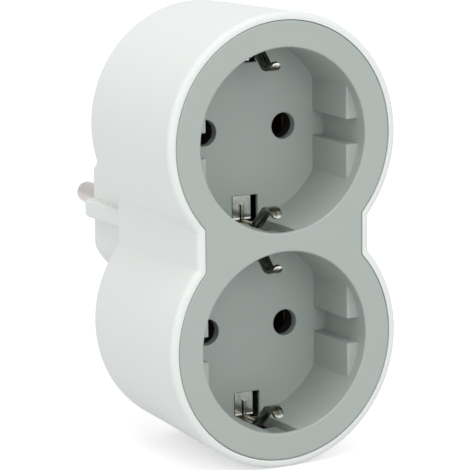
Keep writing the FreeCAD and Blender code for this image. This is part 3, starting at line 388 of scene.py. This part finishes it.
@dataclass(frozen=True)
class Plastic:
    """A moulded plastic finish. Colours are linear, sizes are in metres."""

    name: str
    plain: tuple[float, float, float]
    flow: tuple[float, float, float]
    smooth: float
    rough: float
    grain_size: float
    grain_depth: float
    edge_radius: float
    flow_size: float = 0.016
    gloss: float = 0.5

    def build(self, skin: bpy.types.NodeTree) -> bpy.types.Material:
        """Makes the material.

        Args:
            skin: The moulded skin group.

        Returns:
            The finished material.
        """
        values = {
            "Plain Colour": (*self.plain, 1.0), "Flow Colour": (*self.flow, 1.0),
            "Flow Size": self.flow_size, "Grain Size": self.grain_size,
            "Smooth": self.smooth, "Rough": self.rough,
        }
        gloss = {"Specular IOR Level": self.gloss}
        return coat(self.name, skin, values, self.edge_radius, self.grain_depth, gloss)


@dataclass(frozen=True)
class Metal:
    """A rolled, plated or turned metal finish. Colours are linear, sizes are in metres."""

    name: str
    bright: tuple[float, float, float]
    dull: tuple[float, float, float]
    smooth: float
    rough: float
    stretch: tuple[float, float, float]
    streak_size: float = 0.0004
    streak_depth: float = 0.000006
    streak_contrast: float = 0.0
    patch_size: float = 0.003
    darkening: float = 0.0
    # Share of painted highlight on faces that look to the sockets' mouths.
    painted_highlight: float = 0.0
    edge_radius: float = 0.00012

    def build(self, skin: bpy.types.NodeTree) -> bpy.types.Material:
        """Makes the material.

        Args:
            skin: The rolled metal group.

        Returns:
            The finished material.
        """
        values = {
            "Stretch": self.stretch,
            "Bright Colour": (*self.bright, 1.0), "Dull Colour": (*self.dull, 1.0),
            "Streak Size": self.streak_size, "Streak Contrast": self.streak_contrast,
            "Patch Size": self.patch_size, "Darkening": self.darkening, "Painted Highlight": self.painted_highlight,
            "Smooth": self.smooth, "Rough": self.rough,
        }
        metallic = {"Metallic": 1.0}
        return coat(self.name, skin, values, self.edge_radius, self.streak_depth, metallic)


PLASTICS = {
    Slot.SHELL: Plastic(
        name="white_shell",
        plain=(0.772, 0.806, 0.784),
        flow=(0.788, 0.818, 0.798),
        smooth=0.40,
        rough=0.55,
        grain_size=0.00035,
        grain_depth=0.000012,
        edge_radius=0.0002,
        gloss=0.38,
    ),
    Slot.INSERT: Plastic(
        name="grey_insert",
        plain=(0.393, 0.438, 0.413),
        flow=(0.412, 0.450, 0.431),
        smooth=0.38,
        rough=0.52,
        grain_size=0.0003,
        grain_depth=0.000012,
        edge_radius=0.00045,
    ),
    Slot.INNER: Plastic(
        name="inner_moulding",
        plain=(0.02, 0.021, 0.021),
        flow=(0.028, 0.028, 0.027),
        smooth=0.5,
        rough=0.65,
        grain_size=0.0004,
        grain_depth=0.00001,
        edge_radius=0.0002,
    ),
}
METALS = {
    Slot.PIN: Metal(
        name="nickel_pin",
        bright=(0.55, 0.53, 0.505),
        dull=(0.45, 0.43, 0.41),
        smooth=0.22,
        rough=0.38,
        stretch=(1.0, 12.0, 1.0),
    ),
    # The strip's near-black dull colour, and the darkening that spreads it over most of the strip,
    # are painted dark reflection and shade on slopes and bends, mixed with random dull patches; its
    # bright colour on faces towards the mouths is a painted highlight.
    Slot.STRIP: Metal(
        name="nickel_strip",
        bright=(0.88, 0.88, 0.82),
        dull=(0.12, 0.12, 0.09),
        smooth=0.08,
        rough=0.22,
        stretch=(6.0, 1.0, 1.0),
        streak_size=0.0022,
        streak_contrast=1.5,
        darkening=0.5,
        painted_highlight=0.85,
    ),
    # The brass colours are darkened far below brass: painted shade of the deep pin holes the
    # contacts sit in.
    Slot.BRASS: Metal(
        name="brass_contact",
        bright=(0.28, 0.20, 0.10),
        dull=(0.15, 0.11, 0.055),
        smooth=0.30,
        rough=0.48,
        stretch=(6.0, 1.0, 1.0),
    ),
    Slot.FASTENER: Metal(
        name="steel_fastener",
        bright=(0.52, 0.52, 0.51),
        dull=(0.38, 0.38, 0.37),
        smooth=0.28,
        rough=0.45,
        stretch=(1.0, 6.0, 1.0),
    ),
}


class Finishes:
    """Every finish of the object, built once and shared."""

    def __init__(self) -> None:
        """Builds the shared skins and one material for each slot."""
        moulded = moulded_skin_group()
        rolled = rolled_metal_group()
        self.by_slot = {slot: plastic.build(moulded) for slot, plastic in PLASTICS.items()}
        self.by_slot.update({slot: metal.build(rolled) for slot, metal in METALS.items()})

    def dress_node(self, node: bpy.types.Object, slot: Slot) -> None:
        """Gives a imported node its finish.

        Args:
            node: The node's object.
            slot: The finish to give it.
        """
        node.data.materials.clear()
        node.data.materials.append(self.by_slot[slot])


@dataclass
class PackedPieces:
    """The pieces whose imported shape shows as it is, with the finish that the record gives them."""

    def dress(self, finishes: Finishes) -> None:
        """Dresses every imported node.

        Args:
            finishes: The object's finishes.
        """
        for part in frame["record"]["subparts"]:
            node = frame["nodes"][part["node"]]
            finishes.dress_node(node, Slot(part["material_slot"]))
            LOG.info("%s: %s", part["node"], part["material_slot"])


# Steps between two rings of different radius, so small that the solid steps squarely there.
RING_GAP = 0.002 * MM
HEAD_GAP = 0.001 * MM
# Radius of the circle round an even triangle, as a share of the triangle's height.
TRIANGLE_SHARE = 2.0 / 3.0
# Angles, in degrees, of the rings that round off a screw's head and a rivet's dome.
HEAD_RING_ANGLES = range(0, 91, 15)
DOME_RING_ANGLES = (84, 70, 55, 40, 25, 10, 0)


def turned_solid(
    graph: Graph, stations: list[tuple[object, object]], segments: bpy.types.NodeSocket
) -> bpy.types.NodeSocket:
    """Turns a profile round Z: a circle is swept up a line, with its own radius at each station.

    Args:
        graph: The geometry tree that it is built in.
        stations: Height and radius of each ring, from the bottom up, as numbers or sockets.
        segments: How many sides a ring has.

    Returns:
        The solid's geometry.
    """
    line = graph.add("GeometryNodeCurvePrimitiveLine")
    points = graph.add(
        "GeometryNodeResampleCurve", {"Curve": line.outputs[0], "Count": len(stations)}
    )
    index = graph.add("GeometryNodeInputIndex").outputs[0]
    heights = graph.pick(index, [height for height, _ in stations])
    radii = graph.pick(index, [radius for _, radius in stations])
    place = graph.add("ShaderNodeCombineXYZ", {"Z": heights})
    spine = graph.add(
        "GeometryNodeSetPosition", {"Geometry": points.outputs[0], "Position": place.outputs[0]}
    )
    ring = graph.add("GeometryNodeCurvePrimitiveCircle", {"Resolution": segments, "Radius": 1.0})
    swept = graph.add(
        "GeometryNodeCurveToMesh",
        {
            "Curve": spine.outputs[0], "Profile Curve": ring.outputs[0], "Scale": radii,
            "Fill Caps": True,
        },
    )
    return swept.outputs[0]


def finish_tree(graph: Graph, shape: bpy.types.NodeSocket, finish: bpy.types.NodeSocket) -> None:
    """Ends a geometry tree in real geometry with its material.

    Args:
        graph: The tree.
        shape: What it has built, with or without instances.
        finish: The material's socket.
    """
    real = graph.add("GeometryNodeRealizeInstances", {"Geometry": shape})
    dressed = graph.add(
        "GeometryNodeSetMaterial", {"Geometry": real.outputs[0], "Material": finish}
    )
    graph.add("NodeGroupOutput", {"Shape": dressed.outputs[0]})


def bake(
    name: str, tree: bpy.types.NodeTree, values: dict[str, object], crease: float
) -> bpy.types.Object:
    """Evaluates a geometry tree once and keeps its result as a plain mesh.

    Args:
        name: The piece's name.
        tree: The geometry tree.
        values: The tree's inputs by name.
        crease: Edges sharper than this angle, in radians, stay sharp.

    Returns:
        The piece, at the origin.
    """
    piece = bpy.data.objects.new(name, bpy.data.meshes.new(name))
    modifier = piece.modifiers.new("build", "NODES")
    modifier.node_group = tree
    for item in tree.interface.items_tree:
        if item.in_out == "INPUT":
            modifier[item.identifier] = values[item.name]
    bpy.context.scene.collection.objects.link(piece)
    depsgraph = bpy.context.evaluated_depsgraph_get()
    mesh = bpy.data.meshes.new_from_object(piece.evaluated_get(depsgraph))
    piece.modifiers.clear()
    piece.data = mesh
    mesh.shade_smooth()
    mesh.set_sharp_from_angle(angle=crease)
    return piece


def stand_for(piece: bpy.types.Object, node: str) -> None:
    """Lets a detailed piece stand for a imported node.

    Args:
        piece: The finished piece.
        node: The node that it replaces.
    """
    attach(piece, BODY)
    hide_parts(node)
    LOG.info("%s: stands for %s, %d faces", piece.name, node, len(piece.data.polygons))


@dataclass
class RearScrews:
    """The four screws sunk in the shell's back. Sizes are in metres, angles in radians."""

    side: float = 13.6 * MM
    lift: float = 34.4 * MM
    seat: float = 22.4 * MM
    head_radius: float = 2.6 * MM
    head_height: float = 1.9 * MM
    head_round: float = 0.7 * MM
    core_radius: float = 1.05 * MM
    thread_radius: float = 1.38 * MM
    length: float = 11.0 * MM
    point_length: float = 2.2 * MM
    tip_radius: float = 0.12 * MM
    tip_height: float = 0.25 * MM
    tip_shoulder: float = 0.3 * MM
    fillet: float = 0.3 * MM
    head_chamfer: float = 0.12 * MM
    pitch: float = 1.25 * MM
    plain_neck: float = 1.2 * MM
    cross_length: float = 3.0 * MM
    cross_width: float = 0.75 * MM
    cross_depth: float = 1.0 * MM
    turn_each: float = 0.55
    crease: float = math.radians(35)
    turn_points: int = 24
    segments: int = 32

    def tree(self) -> bpy.types.NodeTree:
        """Builds the geometry tree of one screw, and repeats it at four places.

        Returns:
            The tree.
        """
        names = (
            "Side", "Lift", "Seat", "Head Radius", "Head Height", "Head Round", "Core Radius",
            "Thread Radius", "Length", "Point Length", "Pitch", "Plain Neck", "Cross Length",
            "Cross Width", "Cross Depth", "Turn Each",
        )
        inputs = {name: FLOAT for name in names}
        inputs.update({"Segments": COUNT, "Finish": FINISH})
        tree = new_group("GeometryNodeTree", "rear_screws", inputs, {"Shape": SHAPE})
        graph = Graph(tree)
        given = graph.add("NodeGroupInput").outputs
        screw = self.cut_cross(graph, given, self.body(graph, given))
        thread = self.thread(graph, given)
        joined = graph.add("GeometryNodeJoinGeometry", {"Geometry": screw})
        tree.links.new(thread, joined.inputs[0])
        places = graph.add(
            "GeometryNodeMeshGrid",
            {
                "Size X": graph.math("MULTIPLY", given["Side"], 2.0),
                "Size Y": graph.math("MULTIPLY", given["Lift"], 2.0),
                "Vertices X": 2,
                "Vertices Y": 2,
            },
        )
        seat = graph.math("MULTIPLY", given["Seat"], -1.0)
        depth = graph.add("ShaderNodeCombineXYZ", {"Y": seat})
        upright = graph.add(
            "GeometryNodeTransform",
            {
                "Geometry": places.outputs[0],
                "Translation": depth.outputs[0],
                "Rotation": (-math.pi / 2, 0.0, 0.0),
            },
        )
        screws = graph.add(
            "GeometryNodeInstanceOnPoints",
            {
                "Points": upright.outputs[0],
                "Instance": joined.outputs[0],
                "Rotation": (-math.pi / 2, 0.0, 0.0),
            },
        )
        index = graph.add("GeometryNodeInputIndex").outputs[0]
        turn = graph.add(
            "ShaderNodeCombineXYZ", {"Z": graph.math("MULTIPLY", index, given["Turn Each"])}
        )
        turned = graph.add(
            "GeometryNodeRotateInstances",
            {"Instances": screws.outputs[0], "Rotation": turn.outputs[0], "Local Space": True},
        )
        finish_tree(graph, turned.outputs[0], given["Finish"])
        return tree

    def body(self, graph: Graph, given: bpy.types.NodeOutputs) -> bpy.types.NodeSocket:
        """Turns the core, its point and the pan head, with the seat at the origin and the head up.

        Args:
            graph: The screw's tree.
            given: The tree's inputs.

        Returns:
            The turned solid.
        """
        tip = graph.math("MULTIPLY", given["Length"], -1.0)
        shoulder = graph.math("ADD", tip, given["Point Length"])
        rim = graph.math("SUBTRACT", given["Head Height"], given["Head Round"])
        inner = graph.math("SUBTRACT", given["Head Radius"], given["Head Round"])
        stations = [
            (tip, self.tip_radius),
            (graph.math("ADD", tip, self.tip_height), self.tip_shoulder),
            (shoulder, given["Core Radius"]),
            (-self.fillet, given["Core Radius"]),
            (-RING_GAP, graph.math("ADD", given["Core Radius"], self.fillet)),
            (0.0, graph.math("SUBTRACT", given["Head Radius"], self.head_chamfer)),
            (self.head_chamfer, given["Head Radius"]),
        ]
        for degrees in HEAD_RING_ANGLES:
            angle = math.radians(degrees)
            rise = graph.math("MULTIPLY", given["Head Round"], math.sin(angle))
            reach = graph.math("MULTIPLY", given["Head Round"], math.cos(angle))
            stations.append((graph.math("ADD", rim, rise), graph.math("ADD", inner, reach)))
        return turned_solid(graph, stations, given["Segments"])

    def thread(self, graph: Graph, given: bpy.types.NodeOutputs) -> bpy.types.NodeSocket:
        """Winds the thread's ridge round the core.

        Args:
            graph: The screw's tree.
            given: The tree's inputs.

        Returns:
            The ridge.
        """
        ends = graph.math("ADD", given["Point Length"], given["Plain Neck"])
        height = graph.math("SUBTRACT", given["Length"], ends)
        turns = graph.math("DIVIDE", height, given["Pitch"])
        depth = graph.math("SUBTRACT", given["Thread Radius"], given["Core Radius"])
        ridge_radius = graph.math("MULTIPLY", depth, TRIANGLE_SHARE)
        middle = graph.math("SUBTRACT", given["Thread Radius"], ridge_radius)
        helix = graph.add(
            "GeometryNodeCurveSpiral",
            {
                "Resolution": self.turn_points, "Rotations": turns, "Start Radius": middle,
                "End Radius": middle, "Height": height,
            },
        )
        start = graph.math("SUBTRACT", given["Point Length"], given["Length"])
        lifted = graph.add(
            "GeometryNodeTransform",
            {
                "Geometry": helix.outputs[0],
                "Translation": graph.add("ShaderNodeCombineXYZ", {"Z": start}).outputs[0],
            },
        )
        level = graph.add("GeometryNodeSetCurveNormal", {"Curve": lifted.outputs[0]}, mode="Z_UP")
        triangle = graph.add(
            "GeometryNodeCurvePrimitiveCircle", {"Resolution": 3, "Radius": ridge_radius}
        )
        ridge = graph.add(
            "GeometryNodeCurveToMesh",
            {"Curve": level.outputs[0], "Profile Curve": triangle.outputs[0], "Fill Caps": True},
        )
        return ridge.outputs[0]

    def cut_cross(
        self, graph: Graph, given: bpy.types.NodeOutputs, screw: bpy.types.NodeSocket
    ) -> bpy.types.NodeSocket:
        """Cuts the cross recess into the head.

        Args:
            graph: The screw's tree.
            given: The tree's inputs.
            screw: The turned screw.

        Returns:
            The screw with its recess.
        """
        cutter_depth = graph.math("MULTIPLY", given["Cross Depth"], 2.0)
        raised = graph.add("ShaderNodeCombineXYZ", {"Z": given["Head Height"]})
        difference = graph.add(
            "GeometryNodeMeshBoolean", {"Mesh 1": screw}, operation="DIFFERENCE"
        )
        for turn in (0.0, math.pi / 2):
            block = graph.add(
                "GeometryNodeMeshCube",
                {
                    "Size": graph.add(
                        "ShaderNodeCombineXYZ",
                        {"X": given["Cross Length"], "Y": given["Cross Width"], "Z": cutter_depth},
                    ).outputs[0]
                },
            )
            placed = graph.add(
                "GeometryNodeTransform",
                {
                    "Geometry": block.outputs[0],
                    "Translation": raised.outputs[0],
                    "Rotation": (0.0, 0.0, turn),
                },
            )
            graph.tree.links.new(placed.outputs[0], difference.inputs["Mesh 2"])
        return difference.outputs[0]

    def build(self, finishes: Finishes) -> None:
        """Makes the screws and lets them stand for their node.

        Args:
            finishes: The object's finishes.
        """
        piece = bake(
            "cross_head_screws",
            self.tree(),
            {
                "Side": self.side, "Lift": self.lift, "Seat": self.seat,
                "Head Radius": self.head_radius, "Head Height": self.head_height,
                "Head Round": self.head_round, "Core Radius": self.core_radius,
                "Thread Radius": self.thread_radius, "Length": self.length,
                "Point Length": self.point_length, "Pitch": self.pitch,
                "Plain Neck": self.plain_neck, "Cross Length": self.cross_length,
                "Cross Width": self.cross_width, "Cross Depth": self.cross_depth,
                "Turn Each": self.turn_each, "Segments": self.segments,
                "Finish": finishes.by_slot[Slot.FASTENER],
            },
            crease=self.crease,
        )
        stand_for(piece, "rear_screws")


@dataclass
class EarthRivets:
    """The two domed rivets through bows, earth bar and plug strips.

    Sizes are in metres, angles in radians.
    """

    lift: float = 21.5 * MM
    front_face: float = 38.45 * MM
    back_face: float = 36.05 * MM
    shank_radius: float = 1.0 * MM
    head_radius: float = 1.8 * MM
    head_height: float = 0.55 * MM
    crease: float = math.radians(40)
    segments: int = 36

    def tree(self) -> bpy.types.NodeTree:
        """Builds the geometry tree of one rivet, and repeats it behind each socket.

        Returns:
            The tree.
        """
        names = ("Lift", "Front Face", "Back Face", "Shank Radius", "Head Radius", "Head Height")
        inputs = {name: FLOAT for name in names}
        inputs.update({"Segments": COUNT, "Finish": FINISH})
        tree = new_group("GeometryNodeTree", "earth_rivets", inputs, {"Shape": SHAPE})
        graph = Graph(tree)
        given = graph.add("NodeGroupInput").outputs
        front = graph.math("MULTIPLY", given["Front Face"], -1.0)
        back = graph.math("MULTIPLY", given["Back Face"], -1.0)
        front_dome = self.dome(graph, given)
        back_dome = list(reversed(front_dome))
        stations = [(graph.math("SUBTRACT", front, rise), reach) for rise, reach in front_dome]
        stations.append((graph.math("ADD", front, HEAD_GAP), given["Shank Radius"]))
        stations.append((graph.math("SUBTRACT", back, HEAD_GAP), given["Shank Radius"]))
        stations.extend((graph.math("ADD", back, rise), reach) for rise, reach in back_dome)
        rivet = turned_solid(graph, stations, given["Segments"])
        top = graph.add("ShaderNodeCombineXYZ", {"Z": given["Lift"]})
        drop = graph.math("MULTIPLY", given["Lift"], -2.0)
        step = graph.add("ShaderNodeCombineXYZ", {"Z": drop})
        places = graph.add(
            "GeometryNodeMeshLine",
            {"Count": 2, "Start Location": top.outputs[0], "Offset": step.outputs[0]},
        )
        rivets = graph.add(
            "GeometryNodeInstanceOnPoints",
            {
                "Points": places.outputs[0],
                "Instance": rivet,
                "Rotation": (-math.pi / 2, 0.0, 0.0),
            },
        )
        finish_tree(graph, rivets.outputs[0], given["Finish"])
        return tree

    def dome(self, graph: Graph, given: bpy.types.NodeOutputs) -> list[tuple[object, object]]:
        """Lists the rings of a domed head from its crown down to its face.

        Args:
            graph: The rivet's tree.
            given: The tree's inputs.

        Returns:
            Rise above the face and radius of each ring.
        """
        crown = math.sin(math.radians(DOME_RING_ANGLES[0]))
        rings = []
        for degrees in DOME_RING_ANGLES:
            angle = math.radians(degrees)
            rise = graph.math("MULTIPLY", given["Head Height"], math.sin(angle) / crown)
            rings.append((rise, graph.math("MULTIPLY", given["Head Radius"], math.cos(angle))))
        return rings

    def build(self, finishes: Finishes) -> None:
        """Makes the rivets and lets them stand for their node.

        Args:
            finishes: The object's finishes.
        """
        piece = bake(
            "domed_rivets",
            self.tree(),
            {
                "Lift": self.lift, "Front Face": self.front_face, "Back Face": self.back_face,
                "Shank Radius": self.shank_radius, "Head Radius": self.head_radius,
                "Head Height": self.head_height, "Segments": self.segments,
                "Finish": finishes.by_slot[Slot.FASTENER],
            },
            crease=self.crease,
        )
        stand_for(piece, "earth_rivets")


@dataclass(frozen=True)
class Softbox:
    """A square soft lamp that faces the object. Sizes are in metres, its power in watts."""

    name: str
    at: tuple[float, float, float]
    width: float
    power: float

    def hang(self) -> None:
        """Adds the lamp to the scene."""
        data = bpy.data.lights.new(self.name, "AREA")
        data.size = self.width
        data.energy = self.power
        lamp = bpy.data.objects.new(self.name, data)
        target = (CAD_BOX[0] + CAD_BOX[1]) / 2
        lamp.location = self.at
        lamp.rotation_euler = (target - Vector(self.at)).to_track_quat("-Z", "Y").to_euler()
        bpy.context.scene.collection.objects.link(lamp)


SOFTBOXES = (
    Softbox("high_softbox", at=(-0.10, -0.38, 0.86), width=0.7, power=3.2),
    Softbox("left_softbox", at=(-0.98, -0.22, 0.20), width=0.5, power=1.1),
    Softbox("front_softbox", at=(-0.12, -1.00, 0.32), width=0.5, power=1.7),
)
WHITE = (1.0, 1.0, 1.0, 1.0)


def shown_white(graph: Graph) -> bpy.types.NodeSocket:
    """Finds the rays that see the surroundings plainly: camera, gloss and transmission.

    Args:
        graph: The shader tree.

    Returns:
        A mask, 1 for those rays.
    """
    path = graph.add("ShaderNodeLightPath").outputs
    seen = graph.math("MAXIMUM", path["Is Camera Ray"], path["Is Glossy Ray"])
    return graph.math("MAXIMUM", seen, path["Is Transmission Ray"])


@dataclass
class Studio:
    """The camera, the pale floor and the soft light. Places are in metres."""

    camera_at: tuple[float, float, float] = (-0.32163, -0.63435, 0.13177)
    camera_right: tuple[float, float, float] = (0.87990, -0.47500, -0.01132)
    camera_up: tuple[float, float, float] = (0.10155, 0.16473, 0.98109)
    camera_back: tuple[float, float, float] = (-0.46416, -0.86443, 0.19318)
    lens: float = 247.3
    sensor: float = 36.0
    near_clip: float = 0.01
    floor_half: float = 3.0
    floor_colour: tuple[float, float, float] = (0.72, 0.72, 0.72)
    floor_roughness: float = 0.9
    floor_lift: float = 0.5
    ambient: float = 0.69

    def place_camera(self) -> None:
        """Puts the camera where the photograph was taken from."""
        data = bpy.data.cameras.new("photo_camera")
        data.lens = self.lens
        data.sensor_width = self.sensor
        data.clip_start = self.near_clip
        camera = bpy.data.objects.new("photo_camera", data)
        turn = Matrix((self.camera_right, self.camera_up, self.camera_back)).transposed()
        camera.matrix_world = Matrix.Translation(self.camera_at) @ turn.to_4x4()
        bpy.context.scene.collection.objects.link(camera)
        bpy.context.scene.camera = camera

    def light_world(self) -> None:
        """Lights all round plainly, and shows white to the camera, to gloss and through glass."""
        world = bpy.data.worlds.new("studio")
        world.use_nodes = True
        world.node_tree.nodes.clear()
        graph = Graph(world.node_tree)
        soft = graph.add("ShaderNodeBackground", {"Color": WHITE, "Strength": self.ambient})
        white = graph.add("ShaderNodeBackground", {"Color": WHITE, "Strength": 1.0})
        mixed = graph.add(
            "ShaderNodeMixShader",
            {0: shown_white(graph), 1: soft.outputs[0], 2: white.outputs[0]},
        )
        graph.add("ShaderNodeOutputWorld", {"Surface": mixed.outputs[0]})
        bpy.context.scene.world = world

    def lay_floor(self) -> None:
        """Lays the pale floor under the object."""
        low = CAD_BOX[0].z
        half = self.floor_half
        corners = [(-half, -half, low), (half, -half, low), (half, half, low), (-half, half, low)]
        mesh = bpy.data.meshes.new("floor")
        mesh.from_pydata(corners, [], [(0, 1, 2, 3)])
        floor = bpy.data.objects.new("floor", mesh)
        bpy.context.scene.collection.objects.link(floor)
        material = bpy.data.materials.new("pale_floor")
        material.use_nodes = True
        material.node_tree.nodes.clear()
        graph = Graph(material.node_tree)
        plain = graph.add(
            "ShaderNodeBsdfPrincipled",
            {"Base Color": (*self.floor_colour, 1.0), "Roughness": self.floor_roughness},
        )
        lift = graph.math("MULTIPLY", shown_white(graph), self.floor_lift)
        glow = graph.add("ShaderNodeEmission", {"Color": WHITE, "Strength": lift})
        both = graph.add("ShaderNodeAddShader", {0: plain.outputs[0], 1: glow.outputs[0]})
        graph.add("ShaderNodeOutputMaterial", {"Surface": both.outputs[0]})
        mesh.materials.append(material)

    def set_up(self) -> None:
        """Builds the whole studio."""
        self.place_camera()
        self.light_world()
        self.lay_floor()
        for softbox in SOFTBOXES:
            softbox.hang()
        bpy.context.scene.view_settings.view_transform = "Standard"


def main() -> None:
    """Builds the looks in order."""
    logging.basicConfig(level=logging.INFO, format="%(message)s")
    finishes = Finishes()
    PackedPieces().dress(finishes)
    RearScrews().build(finishes)
    EarthRivets().build(finishes)
    Studio().set_up()


if __name__ == "__main__":
    main()
